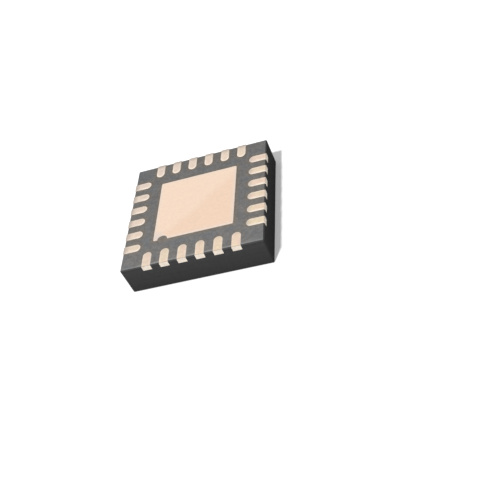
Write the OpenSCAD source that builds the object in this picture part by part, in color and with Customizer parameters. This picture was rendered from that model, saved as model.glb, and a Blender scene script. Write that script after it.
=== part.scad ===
// Quad flat no-lead package, modelled as it lies on its plain face with the solder side up.
// The origin is the centre of the plain face. X and Y run along the walls and Z points out of
// the solder side. Terminal 1 is on the -X wall beside the notch of the pad, and the numbers
// run clockwise as seen from above. All sizes are in millimetres.

/* [Moulding] */
// Length of each side of the square body
body_w = 4; // [4:0.1:4.6]
// Thickness of the moulding, from the plain face to the solder side
mold_t = 0.88; // [0.78:0.02:1]
// Width of the small bevel along every outer edge
edge_bevel = 0.03; // [0.01:0.005:0.04]
// Diameter of the orientation dimple in the plain face
dimple_d = 0.4; // [0.2:0.05:0.5]
// Depth of the orientation dimple
dimple_depth = 0.03; // [0.01:0.005:0.04]
// Distance from the centre of the dimple to each of the two walls beside it
dimple_inset = 0.55; // [0.4:0.05:0.8]

/* [Lead frame sheet] */
// Thickness of the copper sheet
frame_t = 0.17; // [0.15:0.01:0.21]
// Depth etched away from the solder side where the sheet is thinned
half_etch = 0.09; // [0.07:0.01:0.1]
// Distance that the pad and the terminals stand out of the moulding
standoff = 0.02; // [0.01:0.005:0.03]
// Least gap between the tie bars and the terminals
frame_gap = 0.06; // [0.05:0.01:0.08]

/* [Terminals] */
// Distance between neighbouring terminals
pitch = 0.5; // [0.4:0.05:0.5]
// Width of the exposed land
land_w = 0.25; // [0.18:0.01:0.27]
// Length of the exposed land, from the wall to its round end
land_l = 0.5; // [0.4:0.05:0.5]
// Distance that the thinned lock is wider than the land on each side
lock_side = 0.02; // [0.01:0.005:0.03]
// Distance that the thinned lock reaches past the round end
lock_end = 0.06; // [0.04:0.01:0.08]
// Distance from the wall to the start of the lock
lock_setback = 0.1; // [0.05:0.01:0.15]

/* [Pad] */
// Width of the exposed square pad
pad_w = 2.28; // [2.1:0.02:2.4]
// Radius of the corners of the pad
pad_corner_r = 0.04; // [0.02:0.01:0.06]
// Radius of the half-round notch that marks the corner of terminal 1
notch_r = 0.14; // [0.1:0.01:0.16]
// Distance from the corner of the pad to the centre of the notch
notch_inset = 0.265; // [0.22:0.005:0.3]
// Distance that the thinned rim reaches past the exposed pad
rim_w = 0.1; // [0.06:0.01:0.12]
// Width of the thinned tie bars that run towards the corners
tie_w = 0.12; // [0.1:0.01:0.14]
// Thickness of moulding left between the end of a tie bar and the walls
tie_skin = 0.06; // [0.04:0.01:0.1]

/* [Die] */
// Width of the square silicon die
die_w = 1.7; // [1.6:0.05:1.9]
// Thickness of the die
die_t = 0.2; // [0.15:0.01:0.25]
// Thickness of the adhesive between the die and the pad
attach_t = 0.02; // [0.01:0.005:0.03]
// Distance that the adhesive spreads past the die
attach_spread = 0.04; // [0.02:0.01:0.06]

/* [Bond wires] */
// Diameter of the wire
wire_d = 0.025; // [0.02:0.005:0.03]
// Diameter of the pressed ball on the die
ball_d = 0.06; // [0.05:0.005:0.07]
// Height of the pressed ball
ball_h = 0.015; // [0.01:0.001:0.02]
// Distance between neighbouring balls
ball_pitch = 0.26; // [0.2:0.01:0.27]
// Distance from the edge of the die to the balls
ball_inset = 0.08; // [0.06:0.01:0.1]
// Height of the top of the loop above the die
loop_h = 0.13; // [0.11:0.01:0.15]
// Radius of the bend at the top of the loop
loop_r = 0.06; // [0.05:0.01:0.07]
// Diameter of the pressed stitch on the terminal
stitch_d = 0.08; // [0.07:0.005:0.09]
// Thickness of the pressed stitch
stitch_h = 0.01; // [0.006:0.001:0.012]
// Distance from the inner end of the terminal to the stitch
stitch_inset = 0.12; // [0.08:0.01:0.16]

/* [Hidden] */
side_count = 6;
terminal_count = 4 * side_count;

$fn = 48;
half_w = body_w / 2;
// Levels of the stack, counted up from the plain face
land_z = mold_t + standoff;
etch_z = land_z - half_etch;
frame_z = land_z - frame_t;
die_back_z = frame_z - attach_t;
die_face_z = die_back_z - die_t;
// Inner end of a terminal and place of its stitch, counted in from the wall
terminal_l = land_l + lock_end;
stitch_y = terminal_l - stitch_inset;
// Row of balls, counted in from the wall
ball_y = half_w - die_w / 2 + ball_inset;
wire_r = wire_d / 2;

mold_color = [0.43, 0.44, 0.45];
copper_color = [0.95, 0.86, 0.77];
adhesive_color = [0.82, 0.82, 0.80];
silicon_color = [0.36, 0.38, 0.44];
gold_color = [0.93, 0.76, 0.35];

// Flat shapes

// Square about the origin with corners of radius r
module round_square(w, r) {
    inner = w - 2 * r;
    square([w, inner], center = true);
    square([inner, w], center = true);
    for (x = [-1, 1], y = [-1, 1])
        translate([x * inner / 2, y * inner / 2]) circle(r);
}

// Bar of width w along +Y from y0 to a full-round end at y1
module round_bar(w, y0, y1) {
    translate([-w / 2, y0]) square([w, y1 - w / 2 - y0]);
    translate([0, y1 - w / 2]) circle(w / 2);
}

// Rectangle about the origin with its corners cut off at 45 degrees
module bevel_rectangle(w, h, b) {
    x = w / 2;
    y = h / 2;
    polygon([
        [-x + b, -y], [x - b, -y], [x, -y + b], [x, y - b],
        [x - b, y], [-x + b, y], [-x, y - b], [-x, -y + b]
    ]);
}

// Places

// Turns a shape drawn at the middle of the -Y wall, with +Y inwards, to the wall of terminal n
module at_wall(n) {
    side = floor((n - 1) / side_count);
    rotate([0, 0, -90 * (side + 1)]) translate([0, -half_w, 0]) children();
}

// Offset of terminal n along its wall, in steps of a pitch
function place_on_side(n) = (side_count - 1) / 2 - (n - 1) % side_count;

// Lead frame

// Band of the four tie bars, widened on each side by a gap, between two levels
module tie_band(gap, z0, z1) {
    w = tie_w + 2 * gap;
    for (a = [45 : 90 : 315])
        rotate([0, 0, a]) translate([0, -w / 2, z0]) cube([body_w, w, z1 - z0]);
}

// Pad with the die on its inner side, its rim and its tie bars
module die_paddle() {
    tie_span = body_w - 2 * tie_skin;
    color(copper_color) difference() {
        union() {
            translate([0, 0, frame_z])
                linear_extrude(frame_t) round_square(pad_w, pad_corner_r);
            translate([0, 0, frame_z])
                linear_extrude(frame_t - half_etch)
                    round_square(pad_w + 2 * rim_w, pad_corner_r + rim_w);
            intersection() {
                tie_band(0, frame_z, etch_z);
                translate([-tie_span / 2, -tie_span / 2, frame_z])
                    cube([tie_span, tie_span, frame_t]);
            }
        }
        translate([notch_inset - pad_w / 2, -pad_w / 2, etch_z]) cylinder(frame_t, r = notch_r);
    }
}

// Terminal n: the exposed land, and the thinned lock that keeps it in the moulding
module terminal(n) {
    color(copper_color) difference() {
        at_wall(n) translate([place_on_side(n) * pitch, 0, frame_z]) union() {
            linear_extrude(frame_t) round_bar(land_w, 0, land_l);
            linear_extrude(frame_t - half_etch)
                round_bar(land_w + 2 * lock_side, lock_setback, terminal_l);
        }
        tie_band(frame_gap, frame_z - frame_t, land_z + frame_t);
    }
}

// Die

module die_attach() {
    w = die_w + 2 * attach_spread;
    color(adhesive_color) translate([0, 0, die_back_z])
        linear_extrude(attach_t) round_square(w, attach_spread);
}

module silicon_die() {
    color(silicon_color) translate([-die_w / 2, -die_w / 2, die_face_z])
        cube([die_w, die_w, die_t]);
}

// Bond wires

// One wire along +X, with up as the side that the die faces. The ball stands on the origin,
// the stitch lies at span and drop below it, and the wire runs down to it in a straight slope
// that leaves the bend as a tangent and tapers off inside the stitch.
module wire_loop(span, drop) {
    ball_r = ball_d / 2;
    ball_flat_r = 0.8 * ball_r;
    bend_z = loop_h - wire_r - loop_r;
    // The wire swells a little in the bend, and the neck and the slope each run a short way into it
    bend_r = 1.04 * wire_r;
    run_in = wire_r / 4;
    // The tapered tip ends a little past the middle of the stitch, at half its thickness
    tip_r = stitch_h / 3;
    tip_x = span + stitch_d / 6;
    run = tip_x - loop_r;
    fall = bend_z + drop - stitch_h / 2;
    // Angle of the slope below the level, in whole hundredths of a degree
    slope = round(100 * (atan2(fall, run) + asin(loop_r / norm([run, fall])))) / 100;
    slope_l = (run - loop_r * sin(slope)) / cos(slope);
    // Pressed ball and straight neck
    rotate_extrude() polygon([
        [0, 0], [ball_flat_r, 0], [ball_r, ball_h / 3], [ball_r, 2 * ball_h / 3],
        [ball_flat_r, ball_h], [wire_r, ball_h], [wire_r, bend_z + run_in], [0, bend_z + run_in]
    ]);
    // Bend over the top and the slope that runs down from it
    translate([loop_r, 0, bend_z]) rotate([90, 0, 0]) rotate([0, 0, 90 - slope]) {
        rotate_extrude(angle = 90 + slope) translate([loop_r, 0]) circle(bend_r);
        translate([loop_r, 0, 0]) rotate([90, 0, 0]) rotate_extrude() polygon([
            [0, -run_in], [wire_r, -run_in], [wire_r, slope_l - stitch_d],
            [tip_r, slope_l], [0, slope_l]
        ]);
    }
    translate([span, 0, -drop]) cylinder(stitch_h, d = stitch_d);
}

// Wire from the die to terminal n
module bond_wire(n) {
    ball = [place_on_side(n) * ball_pitch, ball_y];
    stitch = [place_on_side(n) * pitch, stitch_y];
    way = stitch - ball;
    color(gold_color) at_wall(n) translate([ball.x, ball.y, die_face_z])
        rotate([180, 0, atan2(way.y, way.x)]) wire_loop(norm(way), frame_z - die_face_z);
}

// Moulding

// Bar with the outline of a wall, turned by an angle about Z
module wall_bar(angle) {
    rotate([90, 0, angle]) translate([0, mold_t / 2, -half_w])
        linear_extrude(body_w) bevel_rectangle(body_w, mold_t, edge_bevel);
}

// Square block from the plain face to the solder side, with bevelled edges
module beveled_block() {
    intersection() {
        linear_extrude(mold_t) bevel_rectangle(body_w, body_w, edge_bevel);
        wall_bar(0);
        wall_bar(90);
    }
}

// Moulding round everything that it holds
module mold_body() {
    dimple_at = dimple_inset - half_w;
    color(mold_color) difference() {
        beveled_block();
        translate([dimple_at, dimple_at, -dimple_depth]) cylinder(2 * dimple_depth, d = dimple_d);
        die_paddle();
        die_attach();
        silicon_die();
        for (n = [1 : terminal_count]) {
            terminal(n);
            bond_wire(n);
        }
    }
}

mold_body();
die_paddle();
die_attach();
silicon_die();
for (n = [1 : terminal_count]) {
    terminal(n);
    bond_wire(n);
}
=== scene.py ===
"""Looks of a quad flat no-lead package that lies on its plain face with the solder side up.

Lengths are millimetres, as on the drawing of such a package. A mesh is scaled to metres once
it is whole. The frame's own pieces keep the moulding, the die, its adhesive and the bond
wires. The pad and the 24 terminals are built here with the rounded rims of etched copper.
"""

import logging
import math
import random
from collections.abc import Callable, Iterable
from dataclasses import dataclass, field
from enum import Enum
from functools import reduce

import bmesh
import bpy
from bmesh.types import BMEdge, BMesh, BMFace, BMVert
from bpy.types import Material, NodeSocket, NodeTree, Object
from mathutils import Matrix, Vector


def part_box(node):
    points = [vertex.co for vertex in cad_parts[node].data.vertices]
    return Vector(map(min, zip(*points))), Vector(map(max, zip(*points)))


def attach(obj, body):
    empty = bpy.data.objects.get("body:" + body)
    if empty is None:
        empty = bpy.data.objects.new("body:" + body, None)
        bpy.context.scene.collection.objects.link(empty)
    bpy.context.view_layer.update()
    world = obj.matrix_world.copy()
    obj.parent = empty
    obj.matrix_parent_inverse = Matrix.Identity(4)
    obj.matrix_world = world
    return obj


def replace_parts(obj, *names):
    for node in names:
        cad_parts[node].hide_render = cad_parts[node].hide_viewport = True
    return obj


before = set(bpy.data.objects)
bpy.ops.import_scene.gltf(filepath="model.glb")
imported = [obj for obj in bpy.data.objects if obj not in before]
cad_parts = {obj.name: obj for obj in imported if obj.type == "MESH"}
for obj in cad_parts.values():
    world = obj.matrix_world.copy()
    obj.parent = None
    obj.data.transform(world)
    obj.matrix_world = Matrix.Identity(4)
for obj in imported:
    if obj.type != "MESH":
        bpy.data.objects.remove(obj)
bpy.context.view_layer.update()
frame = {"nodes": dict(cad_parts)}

LOG = logging.getLogger("package")
MM = 0.001
UP = Vector((0, 0, 1))
SHARP_ANGLE = math.radians(38)
MERGE_DISTANCE = 1e-5

# Depth that is etched away where the copper sheet is thinned
ETCH_DEPTH = 0.09
# Width of the exposed pad, and number of terminals on a wall
PAD_W = 2.28
TERMINALS_PER_WALL = 6
WHITE = (1.0, 1.0, 1.0)

Triple = tuple[float, float, float]
Colour = Triple
Span = tuple[float, float]
Value = NodeSocket | float | Triple

# Values between which soft noise mostly lies, and between which nearly all of it lies
NOISE_SPAN: Span = (0.3, 0.7)
FULL_SPAN: Span = (0.2, 0.8)
# Levelness over which a surface stops being a wall, and over which it becomes a level face
WALL_SPAN: Span = (0.2, 0.5)
FACE_SPAN: Span = (0.75, 0.9)


class Wall(Enum):
    """A wall of the package, in the order of its terminals, with its turn from the -Y wall."""

    LEFT = -90
    BACK = -180
    RIGHT = -270
    FRONT = 0


class Slot(Enum):
    """The name of a copper material slot, which this script does not use."""

    COPPER = "copper"


@dataclass(frozen=True)
class LandPaintedLight:
    """How much painted light the lands of one wall get, each as a share from 0 to 1.

    Attributes:
        painted_shade: How strongly painted shade darkens a land's end, in place of the light that falls on
            its crown.
        overall_shade: How strongly painted shade darkens the whole land.
        rim: How much of the rim's painted highlight shows.
    """

    painted_shade: float
    overall_shade: float
    rim: float


# Painted shade and the strength of the rims' painted highlight by wall, in place of the way light falls on
# the crowned lands
WALL_PAINTED_LIGHT = {
    Wall.LEFT: LandPaintedLight(painted_shade=0.82, overall_shade=0.02, rim=0.90),
    Wall.BACK: LandPaintedLight(painted_shade=0.84, overall_shade=0.00, rim=0.85),
    Wall.RIGHT: LandPaintedLight(painted_shade=0.52, overall_shade=0.02, rim=0.90),
    Wall.FRONT: LandPaintedLight(painted_shade=0.24, overall_shade=0.06, rim=0.55),
}


@dataclass(frozen=True)
class PackageSizes:
    """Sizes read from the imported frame, in millimetres.

    Attributes:
        half_w: Half the width of the square body.
        mold_z: Height of the moulding's solder face.
        sheet_z: Height of the inner side of the copper sheet.
        etch_z: Height of the thinned parts' outer side.
        land_z: Height of the pad's and the lands' outer side.
        terminal_l: Length of a terminal, its lock included.
        lock_w: Width of a terminal's lock.
        pitch: Distance between neighbouring terminals.
        tie_reach: Distance from the centre to the ends of the tie bars, along X or Y.
    """

    half_w: float
    mold_z: float
    sheet_z: float
    etch_z: float
    land_z: float
    terminal_l: float
    lock_w: float
    pitch: float
    tie_reach: float

    @classmethod
    def read(cls) -> "PackageSizes":
        """Reads the sizes from the boxes of a few nodes.

        Returns:
            The sizes of the package.
        """
        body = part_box("mold_body")[1] / MM
        low, high = (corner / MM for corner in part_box("terminal_3"))
        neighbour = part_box("terminal_4")[1] / MM
        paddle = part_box("die_paddle")[1] / MM
        return cls(
            half_w=body.x,
            mold_z=body.z,
            sheet_z=low.z,
            etch_z=high.z - ETCH_DEPTH,
            land_z=high.z,
            terminal_l=high.x - low.x,
            lock_w=high.y - low.y,
            pitch=abs(neighbour.y - high.y),
            tie_reach=paddle.x,
        )


class NodeSheet:
    """Short ways to add and join the nodes of one tree."""

    def __init__(self, tree: NodeTree) -> None:
        """Starts with an empty tree."""
        self.tree = tree
        self.tree.nodes.clear()

    def feed(self, target: NodeSocket, value: Value) -> None:
        """Links an output to an input, or sets the input to a plain value.

        Args:
            target: The input.
            value: An output, a number, a colour or a vector.
        """
        if isinstance(value, NodeSocket):
            self.tree.links.new(value, target)
        elif isinstance(value, tuple) and target.type == "RGBA":
            target.default_value = (*value, 1.0)
        else:
            target.default_value = value

    def add(
        self, kind: str, output: str | int, inputs: dict[str | int, Value] | None = None,
        **settings: str | bool,
    ) -> NodeSocket:
        """Adds a node.

        Args:
            kind: Its kind, without the word that every kind starts with.
            output: Name or number of the output that is wanted.
            inputs: What its inputs are fed, by their names or numbers.
            **settings: Its other settings.

        Returns:
            The output.
        """
        node = self.tree.nodes.new(f"ShaderNode{kind}")
        for name, setting in settings.items():
            setattr(node, name, setting)
        for name, value in (inputs or {}).items():
            self.feed(node.inputs[name], value)
        return node.outputs[output]

    def show(self, kind: str, shader: NodeSocket) -> None:
        """Joins a shader to an output node of a kind."""
        self.feed(self.tree.nodes.new(f"ShaderNode{kind}").inputs["Surface"], shader)

    def maths(self, operation: str, a: Value, b: Value = 0.0) -> NodeSocket:
        """The result of a step of arithmetic on one value or two."""
        return self.add("Math", "Value", {0: a, 1: b}, operation=operation)

    def product(self, *values: Value) -> NodeSocket:
        """The product of two or more values."""
        return reduce(lambda a, b: self.maths("MULTIPLY", a, b), values)

    def choose(self, factor: NodeSocket, off: NodeSocket, on: NodeSocket) -> NodeSocket:
        """The first shader where a factor is 0, and the second where it is 1."""
        return self.add("MixShader", "Shader", {0: factor, 1: off, 2: on})

    def seen_rays(self) -> NodeSocket:
        """Finds the rays that the camera sees, also in gloss and through glass.

        Returns:
            The output with 1 for those rays and 0 for other light.
        """
        seen = self.add("LightPath", "Is Camera Ray")
        for name in ("Is Glossy Ray", "Is Transmission Ray"):
            seen = self.maths("MAXIMUM", seen, self.add("LightPath", name))
        return seen


class MaterialSheet(NodeSheet):
    """The nodes of one material, with its shader and short ways to make patterns.

    Patterns read the Object coordinates, scaled so that one unit is a millimetre.
    """

    def __init__(self, name: str) -> None:
        """Makes the material with its shader and its Object coordinates.

        Args:
            name: Name of the material.
        """
        self.material = bpy.data.materials.new(name)
        self.material.use_nodes = True
        super().__init__(self.material.node_tree)
        self.principled = self.tree.nodes.new("ShaderNodeBsdfPrincipled")
        self.show("OutputMaterial", self.principled.outputs["BSDF"])
        self.object_coords = self.add("TexCoord", "Object")

    def surface(self, name: str, value: Value) -> None:
        """Links or sets an input of the shader."""
        self.feed(self.principled.inputs[name], value)

    def coords(self, stretch: Triple = (1, 1, 1), turn: float = 0.0) -> NodeSocket:
        """Gives the place on the piece in millimetres.

        Args:
            stretch: Factors along X, Y and Z.
            turn: Angle about Z in radians.

        Returns:
            The output with the coordinates.
        """
        scale = tuple(factor / MM for factor in stretch)
        inputs = {"Vector": self.object_coords, "Rotation": (0, 0, turn), "Scale": scale}
        return self.add("Mapping", "Vector", inputs)

    def noise(
        self, per_mm: float, at: NodeSocket | None = None, detail: float = 2.0, roughness: float = 0.5
    ) -> NodeSocket:
        """Soft noise from 0 to 1 with per_mm blobs in a millimetre, at plain or other coordinates."""
        inputs = {"Vector": at or self.coords(), "Scale": per_mm, "Detail": detail, "Roughness": roughness}
        return self.add("TexNoise", "Fac", inputs)

    def cells(self, per_mm: float) -> NodeSocket:
        """Distance to the middle of the nearest speck, of which per_mm lie in a millimetre."""
        return self.add("TexVoronoi", "Distance", {"Vector": self.coords(), "Scale": per_mm})

    def level(self, value: NodeSocket, span: Span, to: Span, smooth: bool = True) -> NodeSocket:
        """Carries a value from one range to another, held at both ends.

        Args:
            value: The value's output.
            span: The range that it comes from.
            to: What it becomes at the range's two ends.
            smooth: True to ease in and out of the range.

        Returns:
            The output with the new value.
        """
        kind = "SMOOTHSTEP" if smooth else "LINEAR"
        ranges = dict(zip(("From Min", "From Max", "To Min", "To Max"), (*span, *to)))
        return self.add("MapRange", "Result", {"Value": value, **ranges}, interpolation_type=kind, clamp=True)

    def rise(self, value: NodeSocket, start: float, end: float) -> NodeSocket:
        """0 up to a start and 1 from an end."""
        return self.level(value, (start, end), (0, 1))

    def fall(self, value: NodeSocket, start: float, end: float) -> NodeSocket:
        """1 up to a start and 0 from an end."""
        return self.level(value, (start, end), (1, 0))

    def vary(self, pattern: NodeSocket, low: float, high: float, span: Span = NOISE_SPAN) -> NodeSocket:
        """An amount that goes from low to high as soft noise crosses its span."""
        return self.level(pattern, span, (low, high))

    def mix(self, factor: Value, a: Value, b: Value) -> NodeSocket:
        """The first colour where a factor is 0, and the second where it is 1."""
        # The node's colours are its inputs 6 and 7 and its output 2
        return self.add("Mix", 2, {0: factor, 6: a, 7: b}, data_type="RGBA")

    def shade(self, colour: Value, amount: Value) -> NodeSocket:
        """A colour that is darker where an amount is below 1 and lighter where it is above."""
        return self.add("VectorMath", "Vector", {0: colour, "Scale": amount}, operation="SCALE")

    def tint(self, colour: Value, pattern: NodeSocket, darkest: float, lightest: float) -> NodeSocket:
        """A colour that soft noise darkens where it is low and lightens where it is high."""
        return self.shade(colour, self.vary(pattern, darkest, lightest))

    def attribute(self, name: str) -> NodeSocket:
        """A number that is kept on the mesh's points."""
        return self.add("Attribute", "Fac", attribute_name=name)

    def part(self, vector: NodeSocket, index: int) -> NodeSocket:
        """One of a vector's three numbers."""
        return self.add("SeparateXYZ", index, {"Vector": vector})

    def axis(self, index: int) -> NodeSocket:
        """The place along X, Y or Z in millimetres, for an index of 0, 1 or 2."""
        return self.part(self.coords(), index)

    def from_middle(self, index: int) -> NodeSocket:
        """Distance along X or Y from the middle of the package."""
        return self.maths("ABSOLUTE", self.axis(index))

    def furthest(self) -> NodeSocket:
        """The greater of the distances along X and Y from the middle of the package."""
        return self.maths("MAXIMUM", self.from_middle(0), self.from_middle(1))

    def levelness(self) -> NodeSocket:
        """1 on a level face and 0 on a wall, from the true normal."""
        return self.maths("ABSOLUTE", self.part(self.add("NewGeometry", "True Normal"), 2))

    def bump(
        self, height: NodeSocket, depth: float, strength: float, over: NodeSocket | None = None
    ) -> NodeSocket:
        """Turns a height from 0 to 1 into a bumped normal.

        Args:
            height: The height's output.
            depth: Height of the bump in millimetres where the height goes from 0 to 1.
            strength: Share of the bump that shows.
            over: The normal of a coarser bump below this one.

        Returns:
            The output with the new normal.
        """
        inputs = {"Height": height, "Distance": depth * MM, "Strength": strength}
        if over is not None:
            inputs["Normal"] = over
        return self.add("Bump", "Normal", inputs)


@dataclass(frozen=True)
class MouldCompound:
    """Dark epoxy full of fine filler: matt moulded faces, and darker walls cut by a saw, partly a sawn finish
    and partly painted shade.

    Lengths are in millimetres.

    Attributes:
        half_w: Half the width of the body.
        top_z: Height of the solder face.
        pitch: Distance between neighbouring lands.
        blue: Colour of the cooler patches of a moulded face.
        brown: Colour of its warmer patches.
        patch_span: Values of the patches' noise over which blue turns to brown.
        speck_span: Values of the filler's pattern from a speck's middle to its edge.
        speck_tone: Tone of a speck's middle as a share of the tone round it.
        pit_span: Values of that pattern from the bottom of the pit at a speck to its edge.
        margin: Colour of the solder face close to the copper, where it is warmer.
        wall: Colour of the sawn walls and of the chamfers, darker than the moulded faces partly for the sawn
            finish and partly as painted shade.
        edge_highlight: Colour of the painted highlight along the front edge of the solder face.
        fade: Share by which the solder face is lighter at its front than at its back.
        margin_span: Distances from the copper over which the margin's colour fades.
        margin_front: Share of that colour that shows between the lands of the front wall.
        front_span: Distances from the front lands' inner ends over which that share grows to 1.
        edge_highlight_span: Distances from the front wall over which the painted highlight fades.
        edge_highlight_corner: Share of the painted highlight that is left beyond the last lands.
        corner_blend: Distance on both sides of the last lands' ends over which it fades to that.
        wall_shade_tones: Tones of the walls at their foot and at their top; the darker foot is painted shade.
        edge_tone: Tone of the walls' top edges and chamfers as a share of the tone below.
        edge_depths: Depths below the solder face at which that tone starts and is full.
        face_depths: Depths between which the margin and the painted highlight start to show.
        roughness: Roughness where the grain is low and where it is high.
        specular: Strength of the reflection.
        land_w: Width of a land.
        land_l: Length of a land.
    """

    half_w: float
    top_z: float
    pitch: float
    blue: Colour = (0.169, 0.175, 0.181)
    brown: Colour = (0.184, 0.178, 0.173)
    patch_span: Span = (0.36, 0.64)
    speck_span: Span = (0.05, 0.3)
    speck_tone: float = 1.12
    pit_span: Span = (0.0, 0.25)
    margin: Colour = (0.197, 0.175, 0.150)
    wall: Colour = (0.074, 0.074, 0.076)
    edge_highlight: Colour = (0.310, 0.308, 0.302)
    fade: float = 0.18
    margin_span: Span = (0.03, 0.14)
    margin_front: float = 0.45
    front_span: Span = (-0.1, 0.2)
    edge_highlight_span: Span = (0.06, 0.10)
    edge_highlight_corner: float = 0.50
    corner_blend: float = 0.1
    wall_shade_tones: Span = (0.76, 1.18)
    edge_tone: float = 0.84
    edge_depths: Span = (0.11, 0.04)
    face_depths: Span = (0.02, 0.01)
    roughness: Span = (0.78, 0.95)
    specular: float = 0.02
    land_w: float = 0.25
    land_l: float = 0.50

    def on_solder_face(self, m: MaterialSheet) -> NodeSocket:
        """1 at the height of the solder face and 0 below it."""
        return m.rise(m.axis(2), *(self.top_z - depth for depth in self.face_depths))

    def from_copper(self, m: MaterialSheet) -> NodeSocket:
        """Works out the distance to the pad or to the nearest land.

        Args:
            m: The material's nodes.

        Returns:
            The output with the distance, below 0 inside the copper.
        """
        far = m.furthest()
        along = m.maths("MINIMUM", m.from_middle(0), m.from_middle(1))
        between = m.maths("SUBTRACT", self.pitch / 2, m.maths("PINGPONG", along, self.pitch / 2))
        past_last = m.maths("SUBTRACT", along, (TERMINALS_PER_WALL - 1) / 2 * self.pitch)
        across = m.maths("MAXIMUM", between, past_last)
        radius = self.land_w / 2
        beyond = m.maths("MAXIMUM", m.maths("SUBTRACT", self.half_w - self.land_l + radius, far), 0.0)
        squares = (m.product(side, side) for side in (across, beyond))
        to_land = m.maths("SUBTRACT", m.maths("SQRT", m.maths("ADD", *squares)), radius)
        return m.maths("MINIMUM", to_land, m.maths("SUBTRACT", far, PAD_W / 2))

    def near_copper(self, m: MaterialSheet) -> NodeSocket:
        """Works out how much of the margin's colour shows, which is less at the front.

        Args:
            m: The material's nodes.

        Returns:
            The output with the share, from 0 to 1.
        """
        near = m.fall(self.from_copper(m), *self.margin_span)
        start, end = (self.land_l - self.half_w + offset for offset in self.front_span)
        share = m.level(m.axis(1), (start, end), (self.margin_front, 1))
        return m.product(near, share, self.on_solder_face(m))

    def moulded(self, m: MaterialSheet, grain: NodeSocket, filler: NodeSocket) -> NodeSocket:
        """Colours a moulded face: cool and warm patches, blotches, grain and pale filler.

        Args:
            m: The material's nodes.
            grain: The grain's noise.
            filler: Distance to the middle of the nearest speck of filler.

        Returns:
            The output with the colour.
        """
        patches = m.noise(per_mm=2.6, detail=3.0, roughness=0.6)
        colour = m.mix(m.rise(patches, *self.patch_span), self.blue, self.brown)
        colour = m.mix(self.near_copper(m), colour, self.margin)
        colour = m.tint(colour, grain, darkest=0.86, lightest=1.14)
        colour = m.tint(colour, m.noise(per_mm=5.0), darkest=0.955, lightest=1.045)
        colour = m.shade(colour, m.level(filler, self.speck_span, (self.speck_tone, 1)))
        tones = (1 + self.fade / 2, 1 - self.fade / 2)
        return m.shade(colour, m.level(m.axis(1), (-self.half_w, self.half_w), tones, smooth=False))

    def paint_edge_highlight(self, m: MaterialSheet, colour: NodeSocket, grain: NodeSocket) -> NodeSocket:
        """Paints a highlight: lightens a thin, uneven line of the solder face along the front wall.

        Args:
            m: The material's nodes.
            colour: The face's colour.
            grain: The grain's noise.

        Returns:
            The output with the new colour.
        """
        line = m.fall(m.maths("ADD", m.axis(1), self.half_w), *self.edge_highlight_span)
        breakup = m.noise(per_mm=1.4, at=m.coords(stretch=(3, 1, 1)), detail=3.0)
        row_end = TERMINALS_PER_WALL * self.pitch / 2
        ends = (row_end - self.corner_blend, row_end + self.corner_blend)
        line = m.product(
            line,
            m.vary(breakup, low=0.7, high=1, span=(0.35, 0.6)),
            m.vary(grain, low=0.8, high=1),
            m.level(m.from_middle(0), ends, (1, self.edge_highlight_corner)),
            self.on_solder_face(m),
        )
        # Painted highlight along the front edge
        return m.mix(line, colour, self.edge_highlight)

    def sawn(self, m: MaterialSheet, streaks: NodeSocket) -> NodeSocket:
        """Colours a sawn wall: faint level streaks, torn specks, a darker top edge, and a darker foot that is
        painted shade.

        Args:
            m: The material's nodes.
            streaks: Noise that is drawn out along the wall.

        Returns:
            The output with the colour.
        """
        torn = m.noise(per_mm=9.0, detail=4.0, roughness=0.7)
        # The walls' dark colour is partly a sawn finish and partly painted shade
        colour = m.tint(self.wall, streaks, darkest=0.96, lightest=1.04)
        colour = m.shade(colour, m.vary(torn, low=0.95, high=1.07, span=(0.3, 0.75)))
        # Painted shade: the wall darkens towards its foot
        colour = m.shade(colour, m.level(m.axis(2), (0, self.top_z), self.wall_shade_tones, smooth=False))
        start, full = (self.top_z - depth for depth in self.edge_depths)
        return m.shade(colour, m.level(m.axis(2), (start, full), (1, self.edge_tone)))

    def make(self) -> Material:
        """Builds the material.

        Returns:
            The finished material.
        """
        m = MaterialSheet("mould_compound")
        grain = m.noise(per_mm=14.0, detail=3.0, roughness=0.65)
        filler = m.cells(per_mm=26.0)
        streaks = m.noise(per_mm=1.0, at=m.coords(stretch=(0.8, 0.8, 30)), detail=4.0, roughness=0.6)
        levelness = m.levelness()
        face = self.paint_edge_highlight(m, self.moulded(m, grain, filler), grain)
        m.surface("Base Color", m.mix(m.rise(levelness, *FACE_SPAN), self.sawn(m, streaks), face))
        m.surface("Roughness", m.level(grain, FULL_SPAN, self.roughness))
        m.surface("Specular IOR Level", self.specular)
        pits = m.bump(m.rise(filler, *self.pit_span), depth=0.0015, strength=0.5)
        fine = m.bump(grain, depth=0.004, strength=0.6, over=pits)
        cut = m.product(streaks, m.fall(levelness, *WALL_SPAN))
        m.surface("Normal", m.bump(cut, depth=0.004, strength=0.6, over=fine))
        return m.material


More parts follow.
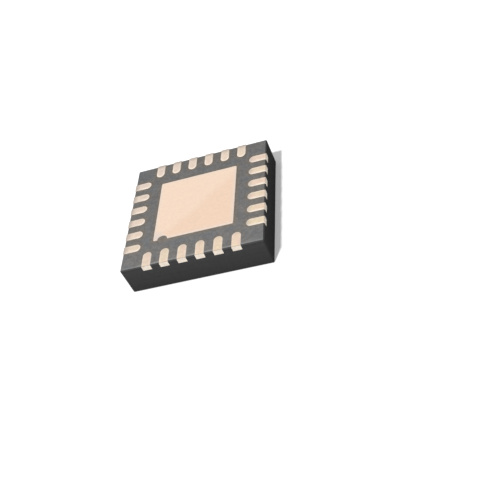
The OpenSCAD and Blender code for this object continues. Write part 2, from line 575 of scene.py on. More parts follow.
@dataclass(frozen=True)
class BareCopper:
    """Etched copper with a matt, warm face, a painted highlight along its rims, painted shade and sawn ends.

    Attributes:
        half_w: Half the width of the body in millimetres, where the saw cuts the copper.
        peach: Colour of the fresh metal where it is rosy.
        straw: Colour of the fresh metal where it is yellower.
        falloff_colour: Colour of the lands where the painted light falloff darkens them most.
        rim: Colour of the painted highlight along the rims.
        sawn: Colour of the ends that the saw has cut.
        bend_line: Colour of the thin dark line at the bend between a land and its sawn end.
        painted_shade_colour: Colour of the painted shade that darkens parts of the lands, in place of the
            light that falls on their crowns.
        rim_cover: Share of the rim's colour that covers the metal where the mesh is all rim.
        straw_drift: Amount by which a land's tone wanders between peach and straw.
        bend_line_span: Distances from the wall over which the line at the bend fades.
        bend_line_cover: Share of the line's colour that covers the metal.
        grain_tones: Tones of the full grain where it is low and where it is high.
        mottle_tones: The same for the soft mottle.
        rolled_tones: The same for the lines from rolling the sheet.
        grain_share: Share of those three that shows in the colour.
        roughness: Roughness where the grain is low and where it is high.
        specular: Strength of the reflection.
        face_metal: How metallic the etched face is.
        sawn_metal: How metallic the sawn ends are.
    """

    half_w: float
    peach: Colour = (0.850, 0.645, 0.524)
    straw: Colour = (0.816, 0.692, 0.498)
    falloff_colour: Colour = (0.760, 0.637, 0.557)
    rim: Colour = (0.890, 0.805, 0.720)
    sawn: Colour = (1.0, 0.912, 0.805)
    bend_line: Colour = (0.480, 0.360, 0.270)
    painted_shade_colour: Colour = (0.400, 0.360, 0.330)
    rim_cover: float = 0.95
    straw_drift: float = 0.6
    bend_line_span: Span = (0.0132, 0.022)
    bend_line_cover: float = 0.85
    grain_tones: Span = (0.965, 1.025)
    mottle_tones: Span = (0.955, 1.03)
    rolled_tones: Span = (0.98, 1.012)
    grain_share: float = 1.0
    roughness: Span = (0.74, 0.88)
    specular: float = 0.15
    face_metal: float = 0.30
    sawn_metal: float = 0.46

    def grain(self, m: MaterialSheet) -> NodeSocket:
        """The fine grain that etching leaves."""
        return m.noise(per_mm=22.0, detail=3.0, roughness=0.6)

    def land_tone(self, m: MaterialSheet) -> NodeSocket:
        """Colours a land: rosy or yellower as it was etched, and darker away from the +X -Y corner by a
        painted light falloff.

        Args:
            m: The material's nodes.

        Returns:
            The output with the colour.
        """
        drift = (-self.straw_drift, self.straw_drift)
        wander = m.level(m.noise(per_mm=6.0), NOISE_SPAN, drift, smooth=False)
        tone = m.level(m.maths("ADD", m.attribute("straw"), wander), (0, 1), (0, 1), smooth=False)
        # Painted light falloff: darker away from the +X -Y corner
        return m.mix(m.attribute("painted_falloff"), m.mix(tone, self.peach, self.straw), self.falloff_colour)

    def rims(self, m: MaterialSheet, colour: NodeSocket) -> NodeSocket:
        """Pales the band along a rounded rim, which on the lands is a painted highlight."""
        return m.mix(m.level(m.attribute("rim"), (0, 1), (0, self.rim_cover)), colour, self.rim)

    def ends(self, m: MaterialSheet, colour: NodeSocket, grain: NodeSocket) -> NodeSocket:
        """Adds the painted shade, the dark line at the bend and the sawn ends.

        Args:
            m: The material's nodes.
            colour: The land's colour.
            grain: The grain's noise.

        Returns:
            The output with the new colour.
        """
        # Painted shade, in place of the light that falls on the crowned lands
        colour = m.mix(m.attribute("painted_shade"), colour, self.painted_shade_colour)
        inward = m.maths("SUBTRACT", self.half_w, m.furthest())
        line = m.level(inward, self.bend_line_span, (self.bend_line_cover, 0))
        line = m.product(line, m.vary(grain, low=0.5, high=1, span=(0.3, 0.6)))
        colour = m.mix(line, colour, self.bend_line)
        streaks = m.noise(per_mm=1.0, at=m.coords(stretch=(0.8, 0.8, 40)), detail=3.0, roughness=0.6)
        end = m.tint(self.sawn, streaks, darkest=0.97, lightest=1.0)
        cut = m.fall(m.levelness(), *WALL_SPAN)
        m.surface("Metallic", m.level(cut, (0, 1), (self.face_metal, self.sawn_metal)))
        return m.mix(cut, colour, end)

    def wear(self, m: MaterialSheet, colour: NodeSocket, grain: NodeSocket) -> Material:
        """Joins the colour to the shader with the etched grain of the sheet.

        Args:
            m: The material's nodes.
            colour: The metal's colour.
            grain: The grain's noise.

        Returns:
            The finished material.
        """
        rolled = m.noise(per_mm=1.6, at=m.coords(stretch=(1.2, 16, 1)), detail=3.0, roughness=0.6)
        patterns = (grain, m.noise(per_mm=10.0), rolled)
        for pattern, tones in zip(patterns, (self.grain_tones, self.mottle_tones, self.rolled_tones)):
            darkest, lightest = (1 + (tone - 1) * self.grain_share for tone in tones)
            colour = m.tint(colour, pattern, darkest, lightest)
        m.surface("Base Color", colour)
        m.surface("Roughness", m.level(grain, FULL_SPAN, self.roughness))
        m.surface("Specular IOR Level", self.specular)
        soft = m.bump(m.noise(per_mm=1.6), depth=0.008, strength=0.5)
        lines = m.bump(rolled, depth=0.002, strength=0.5, over=soft)
        m.surface("Normal", m.bump(grain, depth=0.0012, strength=0.6, over=lines))
        return m.material

    def make(self) -> Material:
        """Builds the material of the terminals.

        Returns:
            The finished material.
        """
        m = MaterialSheet("land_copper")
        grain = self.grain(m)
        return self.wear(m, self.ends(m, self.rims(m, self.land_tone(m)), grain), grain)


@dataclass(frozen=True)
class PadCopper(BareCopper):
    """The same copper on the pad, whose face is paler on one side of its diagonal, a painted sheen.

    Attributes:
        pale: Colour on the side of the -X and +Y walls, which carries the painted sheen.
        warm: Colour on the side of the +X and -Y walls.
        rim: Colour of the rim, and of the border that fades into the face.
        notch_corner: Colour of the darker corner beside the notch.
        grain_share: Share of the full grain, which is fainter on the pad.
        step_span: Offsets across the diagonal between which the two sides meet, in millimetres.
        step_drift: Offset by which that place wanders to either side.
        border_w: Width of the border.
        border_cover: Share of the rim's colour that covers the face at the border's edge.
        notch_corner_span: Distances from that corner over which its colour fades.
        notch_corner_cover: Share of its colour that covers the face.
    """

    pale: Colour = (0.886, 0.704, 0.562)
    warm: Colour = (0.867, 0.662, 0.515)
    rim: Colour = (0.818, 0.702, 0.619)
    notch_corner: Colour = (0.768, 0.666, 0.608)
    grain_share: float = 0.45
    step_span: Span = (-0.03, 0.26)
    step_drift: float = 0.08
    border_w: float = 0.14
    border_cover: float = 0.7
    notch_corner_span: Span = (0.12, 0.38)
    notch_corner_cover: float = 0.9

    def painted_sheen_tone(self, m: MaterialSheet) -> NodeSocket:
        """Paints a sheen on the pad's face, which is paler on one side of its diagonal than on the other.

        Args:
            m: The material's nodes.

        Returns:
            The output with the colour.
        """
        drift = (-self.step_drift, self.step_drift)
        wander = m.level(m.noise(per_mm=1.6), NOISE_SPAN, drift, smooth=False)
        across = m.maths("ADD", m.part(m.coords(turn=math.pi / 4), 0), wander)
        # Painted sheen: paler on one side of the diagonal
        return m.mix(m.rise(across, *self.step_span), self.pale, self.warm)

    def make(self) -> Material:
        """Builds the material of the pad.

        Returns:
            The finished material.
        """
        m = MaterialSheet("pad_copper")
        half = PAD_W / 2
        border = m.level(m.furthest(), (half - self.border_w, half), (0, self.border_cover))
        colour = self.rims(m, m.mix(border, self.painted_sheen_tone(m), self.rim))
        from_corner = m.maths("ADD", m.maths("MAXIMUM", m.axis(0), m.axis(1)), half)
        notch_corner = m.level(from_corner, self.notch_corner_span, (self.notch_corner_cover, 0))
        m.surface("Metallic", self.face_metal)
        return self.wear(m, m.mix(notch_corner, colour, self.notch_corner), self.grain(m))


@dataclass(frozen=True)
class PolishedSilicon:
    """Blue-grey silicon with a faint swirl from grinding its back.

    Attributes:
        dark: Colour between the scratches.
        light: Colour of the scratches.
        roughness: Roughness between the scratches and on them.
        specular: Strength of the reflection.
    """

    dark: Colour = (0.010, 0.013, 0.022)
    light: Colour = (0.020, 0.024, 0.036)
    roughness: Span = (0.14, 0.28)
    specular: float = 0.9

    def make(self) -> Material:
        """Builds the material.

        Returns:
            The finished material.
        """
        m = MaterialSheet("polished_silicon")
        along = m.coords(stretch=(40, 1, 1), turn=math.radians(20))
        scratches = m.noise(per_mm=1.0, at=along, detail=3.0)
        m.surface("Base Color", m.mix(scratches, self.dark, self.light))
        m.surface("Roughness", m.level(scratches, NOISE_SPAN, self.roughness))
        m.surface("Normal", m.bump(scratches, depth=0.0005, strength=0.5))
        m.surface("Specular IOR Level", self.specular)
        return m.material


@dataclass(frozen=True)
class DieAdhesive:
    """Pale paste with silver flakes.

    Attributes:
        paste: Colour of the paste.
        flake: Colour of the flakes.
        flake_span: Distances from a flake's middle over which it fades into the paste.
        roughness: Roughness of the paste and of the flakes.
    """

    paste: Colour = (0.28, 0.28, 0.26)
    flake: Colour = (0.50, 0.50, 0.48)
    flake_span: Span = (0.1, 0.4)
    roughness: Span = (0.65, 0.35)

    def make(self) -> Material:
        """Builds the material.

        Returns:
            The finished material.
        """
        m = MaterialSheet("die_adhesive")
        flakes = m.cells(per_mm=60.0)
        shine = m.fall(flakes, *self.flake_span)
        m.surface("Base Color", m.mix(shine, self.paste, self.flake))
        m.surface("Roughness", m.level(shine, (0, 1), self.roughness))
        m.surface("Normal", m.bump(flakes, depth=0.002, strength=0.6))
        return m.material


@dataclass(frozen=True)
class DrawnGold:
    """Gold wire with faint draw lines.

    Attributes:
        bright: Colour of the lines.
        deep: Colour between them.
        roughness: Roughness between the lines and on them.
    """

    bright: Colour = (0.83, 0.56, 0.17)
    deep: Colour = (0.66, 0.40, 0.10)
    roughness: Span = (0.22, 0.36)

    def make(self) -> Material:
        """Builds the material.

        Returns:
            The finished material.
        """
        m = MaterialSheet("drawn_gold")
        lines = m.noise(per_mm=60.0)
        m.surface("Base Color", m.mix(lines, self.deep, self.bright))
        m.surface("Roughness", m.level(lines, NOISE_SPAN, self.roughness))
        m.surface("Normal", m.bump(lines, depth=0.0006, strength=0.4))
        m.surface("Metallic", 1.0)
        return m.material


def of_kind(items: Iterable, kind: type) -> list:
    """The items that are points, edges or faces, as kind says."""
    return [item for item in items if isinstance(item, kind)]


def points_of(edges: Iterable[BMEdge]) -> list[BMVert]:
    """The points of some edges, each once."""
    return list({vert for edge in edges for vert in edge.verts})


def drawn_since(bm: BMesh, old: set[BMEdge]) -> list[BMEdge]:
    """The edges that were drawn after the old ones."""
    return [edge for edge in bm.edges if edge not in old]


def chain_edge(bm: BMesh, vert: BMVert, to: Vector) -> BMVert:
    """Draws an edge from a point to a new point.

    Args:
        bm: The mesh.
        vert: The point.
        to: Place of the new point.

    Returns:
        The new point.
    """
    made = bmesh.ops.extrude_vert_indiv(bm, verts=[vert])["verts"][0]
    made.co = to
    return made


def chain_arc(bm: BMesh, vert: BMVert, centre: Vector, angle: float, steps: int) -> BMVert:
    """Spins a point about a centre into an arc of edges, and returns the arc's last point."""
    made = bmesh.ops.spin(bm, geom=[vert], cent=centre, axis=UP, angle=angle, steps=steps)
    return of_kind(made["geom_last"], BMVert)[0]


def raise_faces(bm: BMesh, faces: list[BMFace], height: float, keep: bool = False) -> list[BMFace]:
    """Extrudes faces by a height.

    Args:
        bm: The mesh.
        faces: The faces to extrude.
        height: Distance along Z.
        keep: True to leave the old faces in place, which closes a flat sheet into a solid.

    Returns:
        The extruded faces.
    """
    made = bmesh.ops.extrude_face_region(bm, geom=faces)["geom"]
    if not keep:
        bmesh.ops.delete(bm, geom=faces, context="FACES_ONLY")
    bmesh.ops.translate(bm, vec=UP * height, verts=of_kind(made, BMVert))
    return of_kind(made, BMFace)


def mark(bm: BMesh, name: str, amount_at: Callable[[Vector], float]) -> None:
    """Keeps a number on every point of a mesh, for its material.

    Args:
        bm: The mesh.
        name: Name of the attribute.
        amount_at: Gives the number for a point's place.
    """
    layer = bm.verts.layers.float.new(name)
    for vert in bm.verts:
        vert[layer] = amount_at(vert.co)


@dataclass
class CopperShell:
    """One piece of the etched sheet, as a single closed shell with rounded rims.

    Attributes:
        sizes: Sizes of the package.
        rim_r: Radius of the rounded rim of the exposed face.
        rim_steps: Steps across that round.
        rim_depth: Depth below the exposed face that counts as its rim, in radii of the round.
        rim_band: Width of the paler band inside the rim.
        patch_w: Width of the patches that the exposed face is cut into, so that none is a sliver.
    """

    sizes: PackageSizes
    rim_r: float = 0.010
    rim_steps: int = 3
    rim_depth: float = 1.5
    rim_band: float = 0.028
    patch_w: float = 0.15

    def is_exposed(self, vert: BMVert) -> bool:
        """True for a point of the exposed face or of its rounded rim."""
        return vert.co.z > self.sizes.land_z - self.rim_depth * self.rim_r

    def round_rim(self, bm: BMesh, edges: list[BMEdge]) -> None:
        """Rounds the rim of the exposed face, marks a band inside it and cuts the rest into patches.

        Args:
            bm: The mesh.
            edges: The edges of the exposed face that are rounded.
        """
        rim = bm.verts.layers.float.new("rim")
        bmesh.ops.bevel(
            bm, geom=edges, offset=self.rim_r, offset_type="OFFSET", affect="EDGES",
            segments=self.rim_steps, profile=0.5, material=-1, clamp_overlap=True,
        )
        height = self.sizes.land_z
        level = [f for f in bm.faces if all(abs(v.co.z - height) < MERGE_DISTANCE for v in f.verts)]
        top = max(level, key=lambda face: face.calc_area())
        bmesh.ops.inset_region(bm, faces=[top], thickness=self.rim_band, depth=0, use_even_offset=True)
        inner = set(top.verts)
        for vert in bm.verts:
            vert[rim] = 1.0 if self.is_exposed(vert) and vert not in inner else 0.0
        self.cut_patches(bm, top)

    def cut_patches(self, bm: BMesh, face: BMFace) -> None:
        """Cuts a face into patches with planes along X and Y.

        Args:
            bm: The mesh.
            face: The face.
        """
        patches = [face]
        for axis in (Vector((1, 0, 0)), Vector((0, 1, 0))):
            places = [vert.co.dot(axis) for patch in patches for vert in patch.verts]
            low, high = min(places), max(places)
            count = max(1, round((high - low) / self.patch_w))
            for step in range(1, count):
                cut = axis * (low + (high - low) * step / count)
                geom = list({item for patch in patches for item in (*patch.verts, *patch.edges, patch)})
                made = bmesh.ops.bisect_plane(
                    bm, geom=geom, dist=MERGE_DISTANCE, plane_co=cut, plane_no=axis
                )
                patches = of_kind(made["geom"], BMFace)

    def finish(self, bm: BMesh, name: str, material: Material) -> Object:
        """Turns a whole mesh in millimetres into a piece that rides with the package.

        Args:
            bm: The mesh.
            name: Name of the piece.
            material: Its material.

        Returns:
            The new object.
        """
        bmesh.ops.remove_doubles(bm, verts=bm.verts, dist=MERGE_DISTANCE)
        bmesh.ops.recalc_face_normals(bm, faces=bm.faces)
        bm.transform(Matrix.Scale(MM, 4))
        mesh = bpy.data.meshes.new(name)
        bm.to_mesh(mesh)
        bm.free()
        mesh.shade_smooth()
        mesh.set_sharp_from_angle(angle=SHARP_ANGLE)
        mesh.materials.append(material)
        piece = bpy.data.objects.new(name, mesh)
        bpy.context.scene.collection.objects.link(piece)
        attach(piece, "root")
        return piece


@dataclass
class Terminal(CopperShell):
    """One terminal: a land with a round end, and a thinned, wider lock in the moulding.

    It is drawn at the middle of the -Y wall with +Y inwards, and then turned to its wall.

    Attributes:
        number: Number of the terminal, from 1.
        straw: How yellow its copper is, from 0 to 1.
        lock_side: Width by which the lock is wider than the land on each side.
        lock_end: Length by which the lock is longer than the land.
        lock_setback: Distance from the wall to the start of the lock.
        arc_steps: Steps round the land's end.
        tie_clearance: Distance from a corner's diagonal to the trimmed lock.
        rim_band: Width of the paler band inside the land's rim.
        patch_w: Width of the patches of the land.
        crown_across: Height by which the land's middle stands above its long sides.
        crown_along: Height by which the land's middle stands above its ends.
        rim_fade: Share of the way to the land's axis over which its rim's colour fades.
        painted_shade_l: Length of the end of a land that painted shade darkens.
        falloff_reach: Distance over which the painted light falls off fully, in half widths of the body.
    """

    number: int = 1
    straw: float = 0.5
    lock_side: float = 0.02
    lock_end: float = 0.06
    lock_setback: float = 0.1
    arc_steps: int = 20
    tie_clearance: float = 0.12
    rim_band: float = 0.034
    patch_w: float = 0.045
    crown_across: float = 0.006
    crown_along: float = 0.012
    rim_fade: float = 0.6
    painted_shade_l: float = 0.17
    falloff_reach: float = 2.6

    @property
    def wall(self) -> Wall:
        """The wall that the terminal is on."""
        return list(Wall)[(self.number - 1) // TERMINALS_PER_WALL]

    @property
    def offset(self) -> float:
        """Distance of the terminal from the middle of its wall."""
        place = (self.number - 1) % TERMINALS_PER_WALL
        return ((TERMINALS_PER_WALL - 1) / 2 - place) * self.sizes.pitch

    @property
    def half_land(self) -> float:
        """Half the width of the land."""
        return self.sizes.lock_w / 2 - self.lock_side

    @property
    def land_l(self) -> float:
        """Length of the land."""
        return self.sizes.terminal_l - self.lock_end

    def outline(self, bm: BMesh, half: float, end_y: float) -> list[BMEdge]:
        """Draws a round-ended outline from the start of the lock, open there.

        Args:
            bm: The mesh.
            half: Half its width.
            end_y: Distance from the wall to its round end.

        Returns:
            Its edges.
        """
        old = set(bm.edges)
        height = self.sizes.etch_z
        vert = bm.verts.new((half, self.lock_setback, height))
        vert = chain_edge(bm, vert, Vector((half, end_y - half, height)))
        vert = chain_arc(bm, vert, Vector((0, end_y - half, height)), math.pi, self.arc_steps)
        chain_edge(bm, vert, Vector((-half, self.lock_setback, height)))
        return drawn_since(bm, old)

    def draw_sheet(self, bm: BMesh) -> BMFace:
        """Draws the land and the ledge of the lock round it as flat faces.

        Args:
            bm: The mesh.

        Returns:
            The land's face.
        """
        land = self.outline(bm, self.half_land, self.land_l)
        lock = self.outline(bm, self.sizes.lock_w / 2, self.sizes.terminal_l)
        bmesh.ops.bridge_loops(bm, edges=land + lock)
        starts = [v for v in points_of(land) if abs(v.co.y - self.lock_setback) < MERGE_DISTANCE]
        feet = [chain_edge(bm, v, Vector((v.co.x, 0, v.co.z))) for v in starts]
        bm.edges.new(feet)
        rim = land + [edge for foot in feet for edge in foot.link_edges]
        return bmesh.ops.contextual_create(bm, geom=list(set(rim)))["faces"][0]

    def build(self, material: Material) -> Object:
        """Builds the terminal and puts it in the place of its CAD node.

        Args:
            material: The finish of the terminals.

        Returns:
            The new object.
        """
        bm = bmesh.new()
        land = self.draw_sheet(bm)
        raise_faces(bm, list(bm.faces), self.sizes.sheet_z - self.sizes.etch_z, keep=True)
        land = raise_faces(bm, [land], self.sizes.land_z - self.sizes.etch_z)[0]
        bmesh.ops.recalc_face_normals(bm, faces=bm.faces)
        at_wall = [e for e in land.edges if all(abs(v.co.y) < MERGE_DISTANCE for v in e.verts)]
        self.round_rim(bm, [edge for edge in land.edges if edge not in at_wall])
        self.fade_rim(bm)
        self.crown(bm)
        mark(bm, "straw", lambda place: self.straw)
        # Painted shade, kept on the points for the material
        mark(bm, "painted_shade", self.painted_shade)
        to_wall = Matrix.Rotation(math.radians(self.wall.value), 4, "Z")
        bm.transform(to_wall @ Matrix.Translation((self.offset, -self.sizes.half_w, 0)))
        # Painted light falloff, kept on the points for the material
        mark(bm, "painted_falloff", self.painted_falloff)
        self.clear_tie_bars(bm)
        piece = self.finish(bm, f"etched_terminal_{self.number}", material)
        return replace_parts(piece, f"terminal_{self.number}")

    def fade_rim(self, bm: BMesh) -> None:
        """Lets the rim's painted highlight fade towards the land's axis.

        Args:
            bm: The mesh, before the terminal is turned to its wall.
        """
        rim = bm.verts.layers.float["rim"]
        for vert in bm.verts:
            beyond = max(0.0, vert.co.y - self.land_l + self.half_land)
            inward = 1 - math.hypot(vert.co.x, beyond) / self.half_land
            faded = 1 - max(0.0, inward) / self.rim_fade
            # The wall's share of the rim's painted highlight
            vert[rim] = max(vert[rim], faded) * WALL_PAINTED_LIGHT[self.wall].rim

    def crown(self, bm: BMesh) -> None:
        """Lowers the exposed face towards its rim, so that the land is slightly crowned.

        Args:
            bm: The mesh, before the terminal is turned to its wall.
        """
        for vert in filter(self.is_exposed, bm.verts):
            across = vert.co.x / self.half_land
            along = 2 * vert.co.y / self.land_l - 1
            vert.co.z -= self.crown_across * across**2 + self.crown_along * along**2

    def painted_shade(self, place: Vector) -> float:
        """Works out how strongly painted shade darkens a point.

        Args:
            place: The point, before the terminal is turned to its wall.

        Returns:
            A share that grows to the wall on the -X and +Y sides, or else to the inner end.
        """
        # The wall's painted shade and the strength of its rims' painted highlight
        wear = WALL_PAINTED_LIGHT[self.wall]
        from_end = place.y if self.wall in (Wall.LEFT, Wall.BACK) else self.land_l - place.y
        return max(wear.painted_shade * max(0.0, 1 - from_end / self.painted_shade_l), wear.overall_shade)

    def painted_falloff(self, place: Vector) -> float:
        """Painted light falloff: the copper is painted brightest by the +X -Y corner, as if lit from there,
        and darker away from it.
        """
        corner = Vector((self.sizes.half_w, -self.sizes.half_w, place.z))
        return min(1.0, (place - corner).length / (self.falloff_reach * self.sizes.half_w)) ** 2

    def clear_tie_bars(self, bm: BMesh) -> None:
        """Cuts the lock back along the tie bar of the nearest corner.

        Args:
            bm: The mesh, in the terminal's place.
        """
        middle = sum((v.co for v in bm.verts), Vector()) / len(bm.verts)
        for diagonal in (Vector((1, 1, 0)), Vector((1, -1, 0))):
            across = diagonal.normalized().cross(UP)
            if across.dot(middle) < 0:
                across.negate()
            cut = bmesh.ops.bisect_plane(
                bm, geom=bm.verts[:] + bm.edges[:] + bm.faces[:], dist=MERGE_DISTANCE,
                plane_co=across * self.tie_clearance, plane_no=across, clear_inner=True,
            )["geom_cut"]
            edges = of_kind(cut, BMEdge)
            if edges:
                bmesh.ops.contextual_create(bm, geom=edges)


@dataclass
class DiePaddle(CopperShell):
    """The exposed pad with its notch, its thinned rim and its four tie bars.

    Attributes:
        rim_r: Radius of the rounded rim of the pad.
        rim_band: Width of the paler band inside it.
        corner_r: Radius of the pad's corners.
        corner_steps: Steps round a corner.
        notch_r: Radius of the half-round notch.
        notch_inset: Distance from the pad's -X side to the notch's centre.
        notch_steps: Steps round the notch.
        ledge_w: Width of the thinned rim.
        ledge_steps: Steps from the ledge's straight side to a tie bar.
        tie_w: Width of a tie bar.
    """

    rim_r: float = 0.012
    rim_band: float = 0.024
    corner_r: float = 0.04
    corner_steps: int = 5
    notch_r: float = 0.14
    notch_inset: float = 0.265
    notch_steps: int = 12
    ledge_w: float = 0.1
    ledge_steps: int = 6
    tie_w: float = 0.12

    def pad_face(self, bm: BMesh) -> BMFace:
        """Draws the pad's outline with its notch and rounded corners, and fills it.

        Args:
            bm: The empty mesh.

        Returns:
            The pad's face.
        """
        half = PAD_W / 2
        height = self.sizes.etch_z
        centre = Vector((self.notch_inset - half, -half, height))
        first = bm.verts.new(centre - Vector((self.notch_r, 0, 0)))
        vert = chain_arc(bm, first, centre, -math.pi, self.notch_steps)
        corners = []
        for x, y in ((half, -half), (half, half), (-half, half), (-half, -half)):
            vert = chain_edge(bm, vert, Vector((x, y, height)))
            corners.append(vert)
        bm.edges.new((vert, first))
        bmesh.ops.contextual_create(bm, geom=bm.edges[:])
        bmesh.ops.bevel(
            bm, geom=corners, offset=self.corner_r, affect="VERTICES", segments=self.corner_steps,
            profile=0.5, material=-1,
        )
        return bm.faces[:][0]

    def ledge_outline(self, bm: BMesh) -> list[BMEdge]:
        """Draws the outline of the thinned rim with its tie bars.

        Args:
            bm: The mesh.

        Returns:
            The outline's edges.
        """
        old = set(bm.edges)
        height = self.sizes.etch_z
        half = PAD_W / 2 + self.ledge_w
        radius = self.corner_r + self.ledge_w
        inner = half - radius
        reach = self.sizes.tie_reach
        # The tie bar leaves the round corner where its flank meets the arc
        turn = math.pi / 4 - math.asin(self.tie_w / 2 / radius)
        flank = self.tie_w / math.sqrt(2)
        vert = bm.verts.new((half, 0, height))
        vert = chain_edge(bm, vert, Vector((half, inner, height)))
        vert = chain_arc(bm, vert, Vector((inner, inner, height)), turn, self.ledge_steps)
        vert = chain_edge(bm, vert, Vector((reach, reach - flank, height)))
        chain_edge(bm, vert, Vector((reach, reach, height)))

        eighth = drawn_since(bm, old)
        geom = points_of(eighth) + eighth
        bmesh.ops.mirror(bm, geom=geom, matrix=Matrix(), merge_dist=0, axis="Y")
        quarter = drawn_since(bm, old)
        geom = points_of(quarter) + quarter
        bmesh.ops.spin(
            bm, geom=geom, cent=(0, 0, 0), axis=UP, angle=math.pi * 3 / 2, steps=3, use_duplicate=True
        )
        bmesh.ops.remove_doubles(bm, verts=points_of(drawn_since(bm, old)), dist=MERGE_DISTANCE)
        return drawn_since(bm, old)

    def build(self, material: Material) -> Object:
        """Builds the paddle and puts it in the place of its CAD node.

        Args:
            material: The finish of the pad.

        Returns:
            The new object.
        """
        bm = bmesh.new()
        pad = self.pad_face(bm)
        inner = list(pad.edges)
        outer = self.ledge_outline(bm)
        bmesh.ops.triangle_fill(bm, use_beauty=True, edges=outer + inner)
        raise_faces(bm, list(bm.faces), self.sizes.sheet_z - self.sizes.etch_z, keep=True)
        pad = raise_faces(bm, [pad], self.sizes.land_z - self.sizes.etch_z)[0]
        bmesh.ops.recalc_face_normals(bm, faces=bm.faces)
        self.round_rim(bm, list(pad.edges))
        piece = self.finish(bm, "etched_die_paddle", material)
        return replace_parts(piece, "die_paddle")


@dataclass
class LeadFrame:
    """The paddle and the terminals, etched from one sheet of copper.

    Attributes:
        sizes: Sizes of the package.
        seed: Seed of the draws that make each terminal rosier or yellower.
    """

    sizes: PackageSizes
    seed: int = 362080

    def build(self) -> list[Object]:
        """Builds every piece of the sheet.

        Returns:
            The new objects, the paddle first.
        """
        land_finish = BareCopper(self.sizes.half_w).make()
        pad_finish = PadCopper(self.sizes.half_w).make()
        pieces = [DiePaddle(self.sizes).build(pad_finish)]
        tints = random.Random(self.seed)
        for number in range(1, len(Wall) * TERMINALS_PER_WALL + 1):
            terminal = Terminal(self.sizes, number=number, straw=tints.random())
            pieces.append(terminal.build(land_finish))
        return pieces


@dataclass
class KeptPieces:
    """The frame's own pieces that are shown as they are, with their finishes.

    Attributes:
        sizes: Sizes of the package.
        nodes: The frame's nodes by name.
    """

    sizes: PackageSizes
    nodes: dict[str, Object] = field(default_factory=lambda: frame["nodes"])

    def dress_one(self, node: str, material: Material) -> None:
        """Gives a CAD node its material.

        Args:
            node: Name of the node.
            material: The material.
        """
        for slot in self.nodes[node].material_slots:
            slot.link = "OBJECT"
            slot.material = material
        LOG.info("dressed %s in %s", node, material.name)

    def dress(self) -> None:
        """Gives every kept node its finish."""
        sizes = self.sizes
        self.dress_one("mold_body", MouldCompound(sizes.half_w, sizes.mold_z, sizes.pitch).make())
        self.dress_one("die_attach", DieAdhesive().make())
        self.dress_one("silicon_die", PolishedSilicon().make())
        gold = DrawnGold().make()
        for node in sorted(self.nodes):
            if node.startswith("bond_wire_"):
                self.dress_one(node, gold)


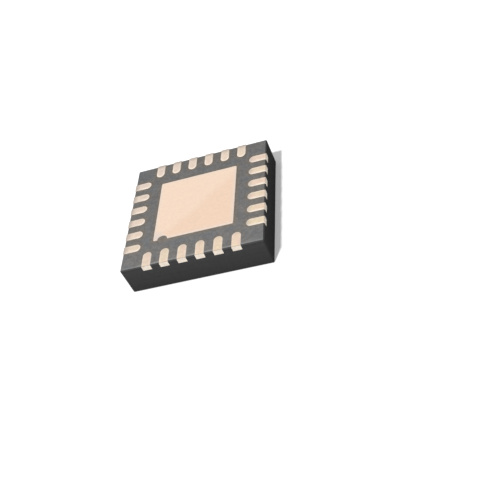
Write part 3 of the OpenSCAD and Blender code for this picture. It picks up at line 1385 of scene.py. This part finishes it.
@dataclass
class Stage:
    """A white floor, a white surround, one soft lamp and the camera of the photograph.

    Attributes:
        floor_w: Width of the floor.
        floor_gap: Gap below the package, which keeps its face and the floor apart.
        underside_reach: Length below which a ray counts as one that leaves the underside.
        floor_bounce: Share of the light that the floor throws back on the package.
        floor_glow: Light that is added to the floor where it is seen, which softens the shadow.
        surround: Strength of the even light from all round.
        sun_share: Light that the lamp gives a level face.
        sun_angle: Width of the lamp as an angle in radians.
        sun_distance: Distance of the lamp from the package, which doesn't change its light.
        to_sun: Direction to the lamp.
        camera_place: Place of the camera.
        camera_turn: Turn of the camera about X, Y and Z in degrees.
        lens: Focal length of the camera.
        sensor_w: Width of its sensor.
    """

    floor_w: float = 400.0
    floor_gap: float = 0.001
    underside_reach: float = 0.06
    floor_bounce: float = 0.12
    floor_glow: float = 0.20
    surround: float = 0.33
    sun_share: float = 0.67
    sun_angle: float = math.radians(5)
    sun_distance: float = 50.0
    to_sun: Triple = (-0.175, -0.490, 0.855)
    camera_place: Triple = (6.6037, -15.3449, 13.8498)
    camera_turn: Triple = (43.9870, 19.2826, 1.8665)
    lens: float = 55.4416
    sensor_w: float = 36.0

    def rays_below(self, sheet: NodeSheet) -> NodeSocket:
        """1 for rays that come up through the floor or leave the package's underside, or else 0."""
        near = sheet.maths("LESS_THAN", sheet.add("LightPath", "Ray Length"), self.underside_reach * MM)
        return sheet.maths("MAXIMUM", sheet.add("NewGeometry", "Backfacing"), near)

    def floor_material(self) -> Material:
        """Makes the floor white where it is seen and dim for the light that it throws back.

        Returns:
            The material.
        """
        material = bpy.data.materials.new("white_floor")
        material.use_nodes = True
        sheet = NodeSheet(material.node_tree)
        white = sheet.add("BsdfDiffuse", "BSDF", {"Color": WHITE})
        glow = sheet.add("Emission", "Emission", {"Strength": self.floor_glow})
        lit = sheet.add("AddShader", "Shader", {0: white, 1: glow})
        dim = sheet.add("BsdfDiffuse", "BSDF", {"Color": (self.floor_bounce,) * 3})
        floor = sheet.choose(sheet.seen_rays(), dim, lit)
        clear = sheet.add("BsdfTransparent", "BSDF")
        sheet.show("OutputMaterial", sheet.choose(self.rays_below(sheet), floor, clear))
        return material

    def build_floor(self) -> None:
        """Lays the floor under the package."""
        bm = bmesh.new()
        bmesh.ops.create_grid(bm, x_segments=1, y_segments=1, size=self.floor_w / 2 * MM)
        bmesh.ops.translate(bm, vec=(0, 0, -self.floor_gap * MM), verts=bm.verts)
        mesh = bpy.data.meshes.new("floor")
        bm.to_mesh(mesh)
        bm.free()
        mesh.materials.append(self.floor_material())
        floor = bpy.data.objects.new("floor", mesh)
        bpy.context.scene.collection.objects.link(floor)

    def build_surround(self) -> None:
        """Surrounds the scene with even light, and with white where it is seen."""
        world = bpy.data.worlds.new("surround")
        world.use_nodes = True
        sheet = NodeSheet(world.node_tree)
        light = sheet.add("Background", "Background", {"Color": WHITE, "Strength": self.surround})
        white = sheet.add("Background", "Background", {"Color": WHITE})
        sheet.show("OutputWorld", sheet.choose(sheet.seen_rays(), light, white))
        bpy.context.scene.world = world

    def build_sun(self) -> None:
        """Hangs the lamp, as strong as gives a level face its share of the light."""
        direction = Vector(self.to_sun).normalized()
        data = bpy.data.lights.new("soft_sun", "SUN")
        data.energy = self.sun_share * math.pi / direction.z
        data.angle = self.sun_angle
        sun = bpy.data.objects.new("soft_sun", data)
        sun.rotation_euler = direction.to_track_quat("Z", "Y").to_euler()
        sun.location = direction * self.sun_distance * MM
        bpy.context.scene.collection.objects.link(sun)

    def build_camera(self) -> None:
        """Puts the camera where the photograph was taken from."""
        data = bpy.data.cameras.new("camera")
        data.lens = self.lens
        data.sensor_width = self.sensor_w
        data.clip_start = MM
        data.clip_end = self.floor_w * MM
        camera = bpy.data.objects.new("camera", data)
        camera.location = Vector(self.camera_place) * MM
        camera.rotation_euler = tuple(math.radians(angle) for angle in self.camera_turn)
        bpy.context.scene.collection.objects.link(camera)
        bpy.context.scene.camera = camera

    def build(self) -> None:
        """Builds the stage."""
        bpy.context.scene.view_settings.view_transform = "Standard"
        self.build_floor()
        self.build_surround()
        self.build_sun()
        self.build_camera()
        LOG.info("built the floor, the surround, the lamp and the camera")


def main() -> None:
    """Builds the stage and every piece in order."""
    logging.basicConfig(level=logging.INFO, format="%(name)s: %(message)s")
    Stage().build()
    sizes = PackageSizes.read()
    for piece in LeadFrame(sizes).build():
        LOG.info("built %s with %d faces", piece.name, len(piece.data.polygons))
    KeptPieces(sizes).dress()


if __name__ == "__main__":
    main()
